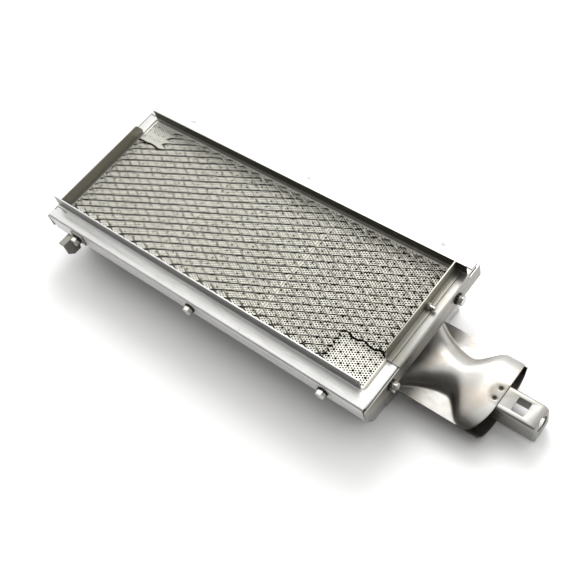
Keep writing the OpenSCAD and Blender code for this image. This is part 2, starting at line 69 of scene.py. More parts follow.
# ---- Studio ----
# A white sweep with one broad soft light high at the back left, and a dimmer room towards the
# camera, so that upright steel faces reflect darker than level ones.
bpy.context.scene.view_settings.view_transform = "Standard"


def clear_nodes(tree):
    """Empties a node tree and returns a function that adds a node with its inputs and settings."""
    tree.nodes.clear()

    def add(kind, inputs=None, **settings):
        node = tree.nodes.new(kind)
        for key, value in settings.items():
            setattr(node, key, value)
        for key, value in (inputs or {}).items():
            if isinstance(value, bpy.types.NodeSocket):
                tree.links.new(value, node.inputs[key])
            else:
                node.inputs[key].default_value = value
        return node

    return add


SKY_BRIGHT = 1.75
ROOM_DIM = 0.16
WALL_BRIGHT = 1.0
ROOM_SIDE = (0.2, -0.93, -0.3)
FLOOR_HALF = 3.0
FLOOR_GAP = 0.2 * MM
world = bpy.data.worlds.new("studio")
world.use_nodes = True
bpy.context.scene.world = world
add = clear_nodes(world.node_tree)
direction = add("ShaderNodeTexCoord").outputs["Generated"]
towards_room = add("ShaderNodeVectorMath", {0: direction, 1: ROOM_SIDE}, operation="DOT_PRODUCT")
dimness = add("ShaderNodeMapRange", {"Value": towards_room.outputs["Value"],
                                     "From Min": -0.38, "From Max": 0.22,
                                     "To Min": SKY_BRIGHT, "To Max": ROOM_DIM},
              interpolation_type="SMOOTHSTEP")
# the walls themselves are plain and pale wherever they are looked at directly
seen = add("ShaderNodeLightPath").outputs["Is Camera Ray"]
strength = add("ShaderNodeMix", {"Factor": seen, "A": dimness.outputs["Result"], "B": WALL_BRIGHT})
sky = add("ShaderNodeBackground", {"Color": (1.0, 0.995, 0.985, 1),
                                   "Strength": strength.outputs["Result"]})
add("ShaderNodeOutputWorld", {"Surface": sky.outputs[0]})

key = bpy.data.objects.new("key_light", bpy.data.lights.new("key_light", "AREA"))
key.data.shape = "DISK"
key.data.size = 0.7
key.data.energy = 9
key.location = Vector((-0.25, 0.85, 1.05))
key.rotation_euler = (aim - key.location).to_track_quat("-Z", "Y").to_euler()
bpy.context.scene.collection.objects.link(key)

floor_mesh = bpy.data.meshes.new("floor")
floor_mesh.from_pydata([(-FLOOR_HALF, -FLOOR_HALF, 0), (FLOOR_HALF, -FLOOR_HALF, 0),
                        (FLOOR_HALF, FLOOR_HALF, 0), (-FLOOR_HALF, FLOOR_HALF, 0)], [], [(0, 1, 2, 3)])
floor = bpy.data.objects.new("floor", floor_mesh)
floor.location.z = -FLOOR_GAP
bpy.context.scene.collection.objects.link(floor)
floor_paint = bpy.data.materials.new("white_sweep")
floor_paint.use_nodes = True
add = clear_nodes(floor_paint.node_tree)
matt = add("ShaderNodeBsdfDiffuse", {"Color": (0.93, 0.93, 0.93, 1)})
add("ShaderNodeOutputMaterial", {"Surface": matt.outputs[0]})
floor_mesh.materials.append(floor_paint)

# ---- Pan ----
# One sheet of bright steel pressed into a deep tray, its rim turned out flat and then down
# into a hem. The venturi passes through the right end wall.
PAN_SHEET = 0.8 * MM
CORNER_R = 4 * MM
BEND_R = 1.6 * MM
NECK_R = 1 * MM
HEM_R = 0.6 * MM
HEM_CORNER_R = 2 * MM
HEM_DEPTH = 12 * MM
FLOOR_MARGIN = 6 * MM


def steel(name, colour, roughness, grain=(4, 60, 60), smudge=0.12, tint=(0.55, 0.47, 0.36),
          tint_amount=0.0, bump=0.02, pits=0.0, shade_and_stain=None, shade_and_stain_colour=(0.05, 0.044, 0.034)):
    """Worked sheet steel: drawn grain, soft smudges, and where asked a patchy straw-coloured heat tint.

    The optional mask function takes the node adder and the texture place, and returns how far each spot is
    painted towards the dark colour: painted shade, and on the venturi also its real weld stains.
    """
    material = bpy.data.materials.new(name)
    material.use_nodes = True
    put = clear_nodes(material.node_tree)
    place = put("ShaderNodeTexCoord").outputs["Object"]
    drawn = put("ShaderNodeMapping", {"Vector": place, "Scale": grain})
    fine = put("ShaderNodeTexNoise", {"Vector": drawn.outputs[0], "Scale": 22.0, "Detail": 5.0,
                                      "Roughness": 0.65})
    cloud = put("ShaderNodeTexNoise", {"Vector": place, "Scale": 38.0, "Detail": 4.0, "Roughness": 0.6,
                                       "Distortion": 0.4})
    speck = put("ShaderNodeTexNoise", {"Vector": place, "Scale": 420.0, "Detail": 2.0})
    worn = put("ShaderNodeMapRange", {"Value": cloud.outputs[0], "From Min": 0.35, "From Max": 0.7,
                                      "To Min": 0.0, "To Max": smudge})
    dark = tuple(c * 0.55 for c in colour)
    pitted = tuple(c * 0.4 for c in colour)
    body = put("ShaderNodeMix", {"Factor": worn.outputs[0], "A": (*colour, 1), "B": (*dark, 1)},
               data_type="RGBA")
    patch = put("ShaderNodeMapRange", {"Value": cloud.outputs[0], "From Min": 0.48, "From Max": 0.66,
                                       "To Min": 0.0, "To Max": tint_amount})
    tinted = put("ShaderNodeMix", {"Factor": patch.outputs[0], "A": body.outputs["Result"], "B": (*tint, 1)},
                 data_type="RGBA")
    spots = put("ShaderNodeMapRange", {"Value": speck.outputs[0], "From Min": 0.68, "From Max": 0.74,
                                       "To Min": 0.0, "To Max": pits})
    final = put("ShaderNodeMix", {"Factor": spots.outputs[0], "A": tinted.outputs["Result"],
                                  "B": (*pitted, 1)}, data_type="RGBA")
    if shade_and_stain:
        final = put("ShaderNodeMix", {"Factor": shade_and_stain(put, place), "A": final.outputs["Result"],
                                      "B": (*shade_and_stain_colour, 1)}, data_type="RGBA")
    rough = put("ShaderNodeMapRange", {"Value": fine.outputs[0], "From Min": 0.3, "From Max": 0.7,
                                       "To Min": roughness * 0.8, "To Max": roughness * 1.25})
    relief = put("ShaderNodeBump", {"Height": fine.outputs[0], "Strength": bump, "Distance": 0.0004})
    skin = put("ShaderNodeBsdfPrincipled", {"Base Color": final.outputs["Result"], "Metallic": 1.0,
                                            "Roughness": rough.outputs[0], "Normal": relief.outputs[0]})
    put("ShaderNodeOutputMaterial", {"Surface": skin.outputs[0]})
    return material


def settle(piece):
    """Turns a piece and its modifiers into a plain mesh with soft bends and crisp edges."""
    if piece.modifiers:
        shaped = bpy.data.meshes.new_from_object(piece.evaluated_get(bpy.context.evaluated_depsgraph_get()))
        old = piece.data
        piece.modifiers.clear()
        piece.data = shaped
        bpy.data.meshes.remove(old)
    piece.data.shade_smooth()
    piece.data.set_sharp_from_angle(angle=math.radians(32))
    piece.data.name = piece.name


def new_piece(name, verts, faces, material):
    """A new object at the origin holding the given mesh."""
    mesh = bpy.data.meshes.new(name)
    mesh.from_pydata([tuple(v) for v in verts], [], faces)
    mesh.update()
    mesh.materials.append(material)
    piece = bpy.data.objects.new(name, mesh)
    bpy.context.scene.collection.objects.link(piece)
    return piece


def give_sheet(piece, sheet):
    """Gives a surface its sheet thickness, away from its outward side."""
    solid = piece.modifiers.new("sheet", "SOLIDIFY")
    solid.thickness = sheet
    solid.offset = -1
    solid.use_even_offset = True


def ease_rims(piece, width, segments=2):
    """Rounds the cut edges a little."""
    ease = piece.modifiers.new("rim", "BEVEL")
    ease.width = width
    ease.segments = segments
    ease.limit_method = "ANGLE"
    ease.angle_limit = math.radians(50)


def cut_away(piece, cutter):
    """Takes the cutter's solid out of the piece."""
    cut = piece.modifiers.new("cut", "BOOLEAN")
    cut.operation = "DIFFERENCE"
    cut.object = cutter
    cut.solver = "EXACT"


def arc(centre, radius, start, end, steps=6):
    """Points on a circle between two angles in degrees, both ends included."""
    return [(centre[0] + radius * math.cos(math.radians(start + (end - start) * k / steps)),
             centre[1] + radius * math.sin(math.radians(start + (end - start) * k / steps)))
            for k in range(steps + 1)]


def rounded_ring(half_x, half_y, radius, z, steps=6):
    """Corner-rounded rectangle, anticlockwise from above."""
    ring = []
    for quarter, (sx, sy) in enumerate([(1, 1), (-1, 1), (-1, -1), (1, -1)]):
        corner = (sx * (half_x - radius), sy * (half_y - radius))
        ring += [(x, y, z) for x, y in arc(corner, radius, quarter * 90, quarter * 90 + 90, steps)]
    return ring


def skin_rings(rings):
    """Faces that join each ring to the next, with the first ring filled."""
    count = len(rings[0])
    faces = [(i * count + j, i * count + (j + 1) % count,
              (i + 1) * count + (j + 1) % count, (i + 1) * count + j)
             for i in range(len(rings) - 1) for j in range(count)]
    return faces + [tuple(range(count))[::-1]]


pan_low, pan_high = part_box("pan")
edge_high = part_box("tile_edge_gasket")[1]
wall_x = edge_high.x + PAN_SHEET
wall_y = edge_high.y + PAN_SHEET
# outer outline of the tray in (out, z): floor, wall, rim, hem; out is measured from the wall
rim_x = pan_high.x - wall_x
rim_y = pan_high.y - wall_y
tray = [(out - BEND_R, z) for out, z in arc((0, BEND_R), BEND_R, 270, 360)]
tray += [(NECK_R + out, z) for out, z in arc((0, pan_high.z - PAN_SHEET - NECK_R), NECK_R, 180, 90)]
outline = [("wall", out, z) for out, z in tray]
outline += [("rim", out, z) for out, z in
            arc((-PAN_SHEET - HEM_R, pan_high.z - PAN_SHEET - HEM_R), HEM_R, 90, 0)]
outline += [("rim", -PAN_SHEET, pan_high.z - HEM_DEPTH)]
rings = [rounded_ring(wall_x - BEND_R - FLOOR_MARGIN, wall_y - BEND_R - FLOOR_MARGIN, 1 * MM, pan_low.z)]
for part, out, z in outline:
    out_x = out + (rim_x if part == "rim" else 0)
    out_y = out + (rim_y if part == "rim" else 0)
    radius = max(CORNER_R + out, 1.2 * MM) if part == "wall" else HEM_CORNER_R + out + PAN_SHEET
    rings.append(rounded_ring(wall_x + out_x, wall_y + out_y, radius, z))


def painted_hem_shade(put, place):
    """The pan's hem is painted dark at its two ends as painted shade, so that the open gap at each corner
    reads as a shadowed seam.
    """
    at = put("ShaderNodeSeparateXYZ", {0: place}).outputs
    out = put("ShaderNodeMath", {0: at["X"]}, operation="ABSOLUTE")
    ends = put("ShaderNodeMapRange", {"Value": out.outputs[0], "From Min": pan_high.x - 6 * MM,
                                      "From Max": pan_high.x - 3 * MM, "To Min": 0.0, "To Max": 0.95})
    below = put("ShaderNodeMapRange", {"Value": at["Z"], "From Min": pan_high.z - 1.6 * MM,
                                       "From Max": pan_high.z - 0.5 * MM, "To Min": 1.0, "To Max": 0.0})
    return put("ShaderNodeMath", {0: ends.outputs[0], 1: below.outputs[0]}, operation="MULTIPLY").outputs[0]


pan_steel = steel("pan_steel", (0.52, 0.52, 0.51), 0.32, smudge=0.15, bump=0.01, shade_and_stain=painted_hem_shade)
pan = new_piece("pan_tray", [v for ring in rings for v in ring], skin_rings(rings), pan_steel)
give_sheet(pan, PAN_SHEET)
ease_rims(pan, 0.12 * MM)

# the hole that the venturi passes through
VENTURI_HOLE_DEPTH = 6 * MM
VENTURI_HOLE_HEIGHT = 22 * MM
VENTURI_HOLE_PLAY = 1 * MM
shell_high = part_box("venturi_lower_shell")[1]
cutter = new_piece("wall_cutter", [], [], pan_steel)
plug = bmesh.new()
hole_size = (VENTURI_HOLE_DEPTH, 2 * shell_high.y + VENTURI_HOLE_PLAY, VENTURI_HOLE_HEIGHT, 1)
bmesh.ops.create_cube(plug, size=1,
                      matrix=Matrix.Translation((wall_x, 0, shell_high.z)) @ Matrix.Diagonal(hole_size))
plug.to_mesh(cutter.data)
plug.free()
cut_away(pan, cutter)
settle(pan)
bpy.data.objects.remove(cutter)
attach(pan, "root")
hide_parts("pan")

# ---- Tile seat, gas baffle and collar ----
# Plain folded steel strips and plates welded inside the pan, and the plate that closes its wall
# round the venturi.
inner_steel = steel("inner_steel", (0.58, 0.57, 0.55), 0.34, smudge=0.3, bump=0.02)
for name in ("front_ledge", "back_ledge", "left_ledge", "right_ledge", "tile_cross_bars", "venturi_collar",
             "baffle_plate", "baffle_legs"):
    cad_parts[name].data.materials.clear()
    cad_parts[name].data.materials.append(inner_steel)

# ---- Gaskets ----
# Soft ceramic-fibre paper, greyed by use and cut in strips: under the tiles, between them and
# round them.
fibre = bpy.data.materials.new("fibre_gasket")
fibre.use_nodes = True
add = clear_nodes(fibre.node_tree)
place = add("ShaderNodeTexCoord").outputs["Object"]
strands = add("ShaderNodeTexNoise", {"Vector": place, "Scale": 900.0, "Detail": 6.0, "Roughness": 0.8})
shade = add("ShaderNodeMix", {"Factor": strands.outputs[0],
                              "A": (0.52, 0.505, 0.44, 1), "B": (0.38, 0.37, 0.32, 1)}, data_type="RGBA")
nap = add("ShaderNodeBump", {"Height": strands.outputs[0], "Strength": 0.5, "Distance": 0.0003})
felt = add("ShaderNodeBsdfPrincipled", {"Base Color": shade.outputs["Result"], "Roughness": 0.95,
                                        "Normal": nap.outputs[0]})
add("ShaderNodeOutputMaterial", {"Surface": felt.outputs[0]})
for name in ("tile_edge_gasket", "tile_joint_strips", "tile_bed_gasket"):
    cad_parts[name].data.materials.clear()
    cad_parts[name].data.materials.append(fibre)

# ---- Ceramic tiles ----
# Pressed blocks of porous cream ceramic, pierced all over by fine flame holes in a triangular
# pattern, with one hole in nine larger. They butt against thin gasket strips.
HOLE_PITCH = 2.11 * MM
FINE_HOLE_R = 0.72 * MM
WIDE_HOLE_R = 1.12 * MM
HOLE_DEPTH = 5 * MM
COLUMN_PITCH = HOLE_PITCH * math.cos(math.radians(30))
PLAIN_BORDER = 0.6 * MM
EDGE_SOFT = 0.35 * MM
SEW_DISTANCE = 0.02 * MM

ceramic = bpy.data.materials.new("tile_ceramic")
ceramic.use_nodes = True
add = clear_nodes(ceramic.node_tree)
place = add("ShaderNodeTexCoord").outputs["Object"]
grain = add("ShaderNodeTexNoise", {"Vector": place, "Scale": 700.0, "Detail": 4.0, "Roughness": 0.7})
blotch = add("ShaderNodeTexNoise", {"Vector": place, "Scale": 26.0, "Detail": 3.0})
cream = add("ShaderNodeMix", {"Factor": blotch.outputs[0],
                              "A": (0.92, 0.905, 0.82, 1), "B": (0.84, 0.825, 0.73, 1)}, data_type="RGBA")
speckled = add("ShaderNodeMix", {"Factor": 0.22, "A": cream.outputs["Result"], "B": grain.outputs[0]},
               data_type="RGBA", blend_type="OVERLAY")
# below the top face the ceramic is painted darker and darker, near black from 0.7 mm down: painted shade in
# the flame holes, and on the tiles' sides too
tile_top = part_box("tile_left")[1].z
height = add("ShaderNodeSeparateXYZ", {0: place}).outputs["Z"]
depth = add("ShaderNodeMapRange", {"Value": height, "From Min": tile_top - 0.7 * MM,
                                   "From Max": tile_top - 0.02 * MM, "To Min": 1.0, "To Max": 0.0})
painted_shade = add("ShaderNodeMix", {"Factor": depth.outputs[0], "A": speckled.outputs["Result"],
                               "B": (0.02, 0.017, 0.012, 1)}, data_type="RGBA")
tooth = add("ShaderNodeBump", {"Height": grain.outputs[0], "Strength": 0.35, "Distance": 0.0003})
biscuit = add("ShaderNodeBsdfPrincipled", {"Base Color": painted_shade.outputs["Result"], "Roughness": 0.85,
                                           "Normal": tooth.outputs[0]})
add("ShaderNodeOutputMaterial", {"Surface": biscuit.outputs[0]})


def hole_cell(name, radius):
    """One brick of the tile's face round one flame hole, with the hole's wall and bottom."""
    half_x = COLUMN_PITCH / 2
    half_y = HOLE_PITCH / 2
    brick = [(1, 0), (1, 1), (0, 1), (-1, 1), (-1, 0), (-1, -1), (0, -1), (1, -1)]
    rim = arc((0, 0), radius, 0, 315, 7)
    verts = [(x * half_x, y * half_y, 0) for x, y in brick] + [(x, y, 0) for x, y in rim]
    verts += [(x, y, -HOLE_DEPTH) for x, y in rim]
    faces = [tuple(range(16, 24))]
    for k in range(8):
        after = (k + 1) % 8
        faces.append((k, after, 8 + after, 8 + k))
        faces.append((8 + k, 8 + after, 16 + after, 16 + k))
    return new_piece(name, verts, faces, ceramic)


def node_group(name, inputs):
    """A geometry node tree with named inputs, and the function that adds its nodes."""
    tree = bpy.data.node_groups.new(name, "GeometryNodeTree")
    tree.interface.new_socket("Geometry", in_out="OUTPUT", socket_type="NodeSocketGeometry")
    for label, kind in inputs:
        tree.interface.new_socket(label, in_out="INPUT", socket_type="NodeSocket" + kind)
    return tree, clear_nodes(tree)


def grow(piece, tree, values):
    """Runs a node tree on a piece with its named inputs set, and keeps the plain mesh it makes."""
    grown = piece.modifiers.new(tree.name, "NODES")
    grown.node_group = tree
    for socket in tree.interface.items_tree:
        if socket.in_out == "INPUT" and socket.name in values:
            grown[socket.identifier] = values[socket.name]
    bpy.context.view_layer.update()
    made = bpy.data.meshes.new_from_object(piece.evaluated_get(bpy.context.evaluated_depsgraph_get()))
    old = piece.data
    piece.modifiers.clear()
    piece.data = made
    bpy.data.meshes.remove(old)


tree, put = node_group("flame_holes", [("Columns", "Int"), ("Rows", "Int"), ("Pitch", "Float"),
                                       ("Column Pitch", "Float"), ("Centre X", "Float"), ("Top", "Float"),
                                       ("Fine Hole", "Object"), ("Wide Hole", "Object"),
                                       ("Half Cell", "Object"), ("Ceramic", "Material")])
given = put("NodeGroupInput").outputs


def math_node(operation, a, b=0.0):
    """The result of a sum in the tree that is being built."""
    return put("ShaderNodeMath", {0: a, 1: b}, operation=operation).outputs[0]


last_column = math_node("SUBTRACT", given["Columns"], 1.0)
grid = put("GeometryNodeMeshGrid", {"Size X": last_column, "Size Y": given["Rows"],
                                    "Vertices X": given["Columns"],
                                    "Vertices Y": math_node("ADD", given["Rows"], 1.0)})
at = put("ShaderNodeSeparateXYZ", {0: put("GeometryNodeInputPosition").outputs[0]}).outputs
column = math_node("ROUND", math_node("ADD", at["X"], math_node("DIVIDE", last_column, 2.0)))
row = math_node("ROUND", math_node("ADD", at["Y"], math_node("DIVIDE", given["Rows"], 2.0)))
odd = math_node("FLOORED_MODULO", column, 2.0)
even = math_node("SUBTRACT", 1.0, odd)
# even columns hold one cell fewer; odd ones start and end with half a cell
middle = math_node("DIVIDE", math_node("SUBTRACT", given["Rows"], even), 2.0)
y = math_node("MULTIPLY", math_node("SUBTRACT", row, middle), given["Pitch"])
x = math_node("MULTIPLY", math_node("SUBTRACT", column, math_node("DIVIDE", last_column, 2.0)),
              given["Column Pitch"])
place_at = put("ShaderNodeCombineXYZ", {"X": math_node("ADD", x, given["Centre X"]), "Y": y,
                                        "Z": given["Top"]})
# the cell order is read before the points move
spread = put("GeometryNodeCaptureAttribute", {"Geometry": grid.outputs["Mesh"]})
spread.capture_items.new("FLOAT", "column")
spread.capture_items.new("FLOAT", "row")
tree.links.new(column, spread.inputs["column"])
tree.links.new(row, spread.inputs["row"])
moved = put("GeometryNodeSetPosition", {"Geometry": spread.outputs["Geometry"],
                                        "Position": place_at.outputs[0]})
column = spread.outputs["column"]
row = spread.outputs["row"]
is_odd = math_node("FLOORED_MODULO", column, 2.0)
is_last = math_node("COMPARE", row, given["Rows"])
is_first = math_node("COMPARE", row, 0.0)
is_end = math_node("MAXIMUM", is_first, is_last)
is_half = math_node("MULTIPLY", is_odd, is_end)
is_spare = math_node("MULTIPLY", math_node("SUBTRACT", 1.0, is_odd), is_last)
along = math_node("SUBTRACT", row, math_node("FLOOR", math_node("DIVIDE", column, 2.0)))
third_column = math_node("COMPARE", math_node("FLOORED_MODULO", column, 3.0), 0.0)
third_row = math_node("COMPARE", math_node("FLOORED_MODULO", along, 3.0), 0.0)
is_whole = math_node("SUBTRACT", math_node("SUBTRACT", 1.0, is_half), is_spare)
is_wide = math_node("MULTIPLY", math_node("MULTIPLY", third_column, third_row), is_whole)
is_fine = math_node("SUBTRACT", is_whole, is_wide)
half_turn = put("ShaderNodeCombineXYZ", {"Z": math_node("MULTIPLY", is_last, math.pi)})
sown = []
for chosen, brick, spin in ((is_fine, "Fine Hole", None), (is_wide, "Wide Hole", None),
                            (is_half, "Half Cell", half_turn)):
    info = put("GeometryNodeObjectInfo", {"Object": given[brick]})
    rows_of = put("GeometryNodeInstanceOnPoints", {"Points": moved.outputs["Geometry"], "Selection": chosen,
                                                   "Instance": info.outputs["Geometry"]})
    if spin:
        tree.links.new(spin.outputs[0], rows_of.inputs["Rotation"])
    sown.append(rows_of.outputs[0])
joined = put("GeometryNodeJoinGeometry")
for link in sown:
    tree.links.new(link, joined.inputs[0])
real = put("GeometryNodeRealizeInstances", {0: joined.outputs[0]})
sewn = put("GeometryNodeMergeByDistance", {"Geometry": real.outputs[0], "Distance": SEW_DISTANCE})
fired = put("GeometryNodeSetMaterial", {"Geometry": sewn.outputs[0], "Material": given["Ceramic"]})
put("NodeGroupOutput", {"Geometry": fired.outputs[0]})

fine_hole = hole_cell("fine_hole", FINE_HOLE_R)
wide_hole = hole_cell("wide_hole", WIDE_HOLE_R)
cx, cy = COLUMN_PITCH / 2, HOLE_PITCH / 2
half_outline = [(-cx, 0, 0), (0, 0, 0), (cx, 0, 0), (cx, cy, 0), (0, cy, 0), (-cx, cy, 0)]
half_cell = new_piece("half_cell", half_outline, [tuple(range(6))], ceramic)
for name in ("tile_left", "tile_middle", "tile_right"):
    low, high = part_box(name)
    columns = int((high.x - low.x - 2 * PLAIN_BORDER) / COLUMN_PITCH)
    rows = int((high.y - low.y - 2 * PLAIN_BORDER) / HOLE_PITCH)
    tile = new_piece(name + "_block", [], [], ceramic)
    grow(tile, tree, {"Columns": columns, "Rows": rows, "Pitch": HOLE_PITCH, "Column Pitch": COLUMN_PITCH,
                      "Centre X": (low.x + high.x) / 2, "Top": high.z, "Fine Hole": fine_hole,
                      "Wide Hole": wide_hole, "Half Cell": half_cell, "Ceramic": ceramic})
    # the plain border, the sides and the underside grow out of the pierced field's edge
    body = bmesh.new()
    body.from_mesh(tile.data)
    edge = [e for e in body.edges if e.is_boundary]
    field_x = columns * COLUMN_PITCH / 2 - 1e-5
    field_y = rows * HOLE_PITCH / 2 - 1e-5
    middle_x = (low.x + high.x) / 2
    for inset, z in ((EDGE_SOFT, high.z), (EDGE_SOFT * 0.3, high.z - EDGE_SOFT * 0.3),
                     (0, high.z - EDGE_SOFT), (0, low.z)):
        grown = bmesh.ops.extrude_edge_only(body, edges=edge)["geom"]
        edge = [g for g in grown if isinstance(g, bmesh.types.BMEdge) and g.is_boundary]
        for vert in {v for e in edge for v in e.verts}:
            out_x = vert.co.x - middle_x
            if abs(out_x) > field_x:
                vert.co.x = (high.x - inset) if out_x > 0 else (low.x + inset)
            if abs(vert.co.y) > field_y:
                vert.co.y = math.copysign(high.y - inset, vert.co.y)
            vert.co.z = z
    bmesh.ops.contextual_create(body, geom=edge)
    bmesh.ops.recalc_face_normals(body, faces=body.faces)
    body.to_mesh(tile.data)
    body.free()
    settle(tile)
    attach(tile, "root")
    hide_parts(name)
for spare in (fine_hole, wide_hole, half_cell):
    bpy.data.objects.remove(spare)

# ---- Rails and lip angles ----
# Folded sheet steel: a rail along each side with its lip, flange and skirt in one piece, a rail
# across each end, and on each end rail a separate upright lip angle.
SHEET_EASE = 0.14 * MM


def dress(node, name, material, rim):
    """A piece cut to a CAD node's own shape, with coplanar facets joined and its cut edges eased."""
    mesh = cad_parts[node].data.copy()
    mesh.materials.clear()
    mesh.materials.append(material)
    piece = bpy.data.objects.new(name, mesh)
    bpy.context.scene.collection.objects.link(piece)
    body = bmesh.new()
    body.from_mesh(mesh)
    bmesh.ops.remove_doubles(body, verts=body.verts, dist=1e-6)
    bmesh.ops.dissolve_limit(body, angle_limit=math.radians(1.5), verts=body.verts, edges=body.edges)
    for face in body.faces:
        face.material_index = 0
    body.to_mesh(mesh)
    body.free()
    ease_rims(piece, rim, 3)
    settle(piece)
    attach(piece, "root")
    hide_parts(node)


flange_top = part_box("right_end_rail")[1].z


def painted_lip_shade(put, place):
    """Upright lip faces are painted dark above the flange as painted shade, most at the back, but not on
    their cut top edge.
    """
    at = put("ShaderNodeSeparateXYZ", {0: place}).outputs
    most = put("ShaderNodeMapRange", {"Value": at["Y"], "From Min": -10 * MM, "From Max": 10 * MM,
                                      "To Min": 0.52, "To Max": 0.97})
    above = put("ShaderNodeMapRange", {"Value": at["Z"], "From Min": flange_top + 0.3 * MM,
                                       "From Max": flange_top + 3.5 * MM, "To Min": 0.0,
                                       "To Max": most.outputs[0]})
    facing = put("ShaderNodeSeparateXYZ", {0: put("ShaderNodeTexCoord").outputs["Normal"]}).outputs["Z"]
    upright = put("ShaderNodeMapRange", {"Value": facing, "From Min": 0.3, "From Max": 0.8,
                                         "To Min": 1.0, "To Max": 0.0})
    darkened = put("ShaderNodeMath", {0: above.outputs[0], 1: upright.outputs[0]}, operation="MULTIPLY")
    return darkened.outputs[0]


rail_steel = steel("rail_steel", (0.60, 0.60, 0.59), 0.47, grain=(3, 70, 70), smudge=0.16, pits=0.25,
                   shade_and_stain=painted_lip_shade)
end_steel = steel("end_rail_steel", (0.32, 0.317, 0.297), 0.42, grain=(70, 3, 70), smudge=0.35, pits=0.2,
                  tint=(0.50, 0.44, 0.34), tint_amount=0.25)
lip_steel = steel("lip_steel", (0.28, 0.272, 0.24), 0.40, grain=(70, 3, 70), smudge=0.4,
                  tint=(0.42, 0.36, 0.26), tint_amount=0.3)
dress("front_rail", "front_side_rail", rail_steel, SHEET_EASE)
dress("back_rail", "back_side_rail", rail_steel, SHEET_EASE)
dress("left_end_rail", "left_cross_rail", end_steel, SHEET_EASE)
dress("right_end_rail", "right_cross_rail", end_steel, SHEET_EASE)
dress("left_lip_angle", "left_lip", lip_steel, SHEET_EASE)
dress("right_lip_angle", "right_lip", lip_steel, SHEET_EASE)

# ---- Screen ----
# Raised expanded steel mesh laid over the tiles: slit and stretched strands that lean one way, and
# are bent down to the tiles along the edges. Two corners are cut away.
STRAND_WIDTH = 1.1 * MM
STRAND_SHEET = 0.5 * MM
STRAND_LEAN = math.radians(36)
DIAMOND_LONG = 14.9 * MM
BAND_PITCH = 3.61 * MM
EDGE_BEND = 7 * MM
EDGE_DROP = 2.6 * MM
TOP_CLEAR = 1.1 * MM
RIM_CLEAR = 0.3 * MM
SWELL = 0.4 * MM
FRONT_NOTCH = (36 * MM, 27 * MM)
BACK_NOTCH = (27 * MM, 24 * MM)
BURR_LENGTH = 2.6 * MM
BURR_GROWTH = 0.55
POINTS_PER_DIAMOND = 12
screen_x, screen_y, screen_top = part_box("screen")[1]


def painted_strand_shade(put, place):
    """Strands are painted dark as painted shade on the faces turned to the right and at their cut ends, less
    along the back.
    """
    at = put("ShaderNodeSeparateXYZ", {0: place}).outputs
    shaded_ends = []
    for side, notch in ((1, FRONT_NOTCH), (-1, BACK_NOTCH)):
        past_x = put("ShaderNodeMath", {0: at["X"], 1: side}, operation="MULTIPLY")
        past_y = put("ShaderNodeMath", {0: at["Y"], 1: -side}, operation="MULTIPLY")
        in_x = put("ShaderNodeMath", {0: past_x.outputs[0], 1: screen_x - notch[0] - BURR_LENGTH},
                   operation="GREATER_THAN")
        in_y = put("ShaderNodeMath", {0: past_y.outputs[0], 1: screen_y - notch[1] - BURR_LENGTH},
                   operation="GREATER_THAN")
        shaded_ends.append(put("ShaderNodeMath", {0: in_x.outputs[0], 1: in_y.outputs[0]},
                              operation="MULTIPLY").outputs[0])
    ends = put("ShaderNodeMath", {0: shaded_ends[0], 1: shaded_ends[1]}, operation="ADD")
    facing = put("ShaderNodeTexCoord").outputs["Normal"]
    side = put("ShaderNodeVectorMath", {0: facing, 1: (1.0, -0.5, 0.0)}, operation="DOT_PRODUCT")
    painted_shade = put("ShaderNodeMapRange", {"Value": side.outputs["Value"], "From Min": 0.05, "From Max": 0.3,
                                        "To Min": 0.0, "To Max": 1.0})
    return put("ShaderNodeMath", {0: painted_shade.outputs[0], 1: ends.outputs[0]}, operation="MAXIMUM").outputs[0]


screen_steel = steel("screen_steel", (0.52, 0.50, 0.45), 0.40, grain=(30, 30, 30), smudge=0.4,
                     tint=(0.36, 0.31, 0.24), tint_amount=0.4, bump=0.03, shade_and_stain=painted_strand_shade,
                     shade_and_stain_colour=(0.012, 0.010, 0.008))
tree, put = node_group("expanded_mesh", [("Bands", "Int"), ("Band Pitch", "Float"),
                                         ("Diamond Length", "Float"), ("Points", "Int"),
                                         ("Half Length", "Float"), ("Half Width", "Float"),
                                         ("Front Notch", "Vector"), ("Back Notch", "Vector"),
                                         ("Burr Length", "Float"), ("Burr Growth", "Float"),
                                         ("Swing", "Float"), ("Rise", "Float"), ("Lean", "Float"),
                                         ("Middle Height", "Float"), ("Swell", "Float"),
                                         ("Edge Bend", "Float"), ("Edge Drop", "Float"),
                                         ("Strand Width", "Float"), ("Strand Sheet", "Float"),
                                         ("Steel", "Material")])
given = put("NodeGroupInput").outputs
line = put("GeometryNodeMeshLine", {"Count": given["Points"], "Start Location": (0, 0, 0)}, mode="END_POINTS")
start = put("ShaderNodeCombineXYZ", {"X": math_node("MULTIPLY", given["Half Length"], -1.0)})
end = put("ShaderNodeCombineXYZ", {"X": given["Half Length"]})
tree.links.new(start.outputs[0], line.inputs["Start Location"])
tree.links.new(end.outputs[0], line.inputs["Offset"])
wire = put("GeometryNodeMeshToCurve", {"Mesh": line.outputs[0]})
rank = put("GeometryNodeMeshLine", {"Count": given["Bands"]}, mode="OFFSET")
step = put("ShaderNodeCombineXYZ", {"Y": given["Band Pitch"]})
first = put("ShaderNodeCombineXYZ", {"Y": math_node("MULTIPLY", math_node("SUBTRACT", given["Bands"], 1.0),
                                                    math_node("MULTIPLY", given["Band Pitch"], -0.5))})
tree.links.new(step.outputs[0], rank.inputs["Offset"])
tree.links.new(first.outputs[0], rank.inputs["Start Location"])
ranks = put("GeometryNodeInstanceOnPoints", {"Points": rank.outputs[0], "Instance": wire.outputs[0]})
bands = put("GeometryNodeRealizeInstances", {0: ranks.outputs[0]})
at = put("ShaderNodeSeparateXYZ", {0: put("GeometryNodeInputPosition").outputs[0]}).outputs
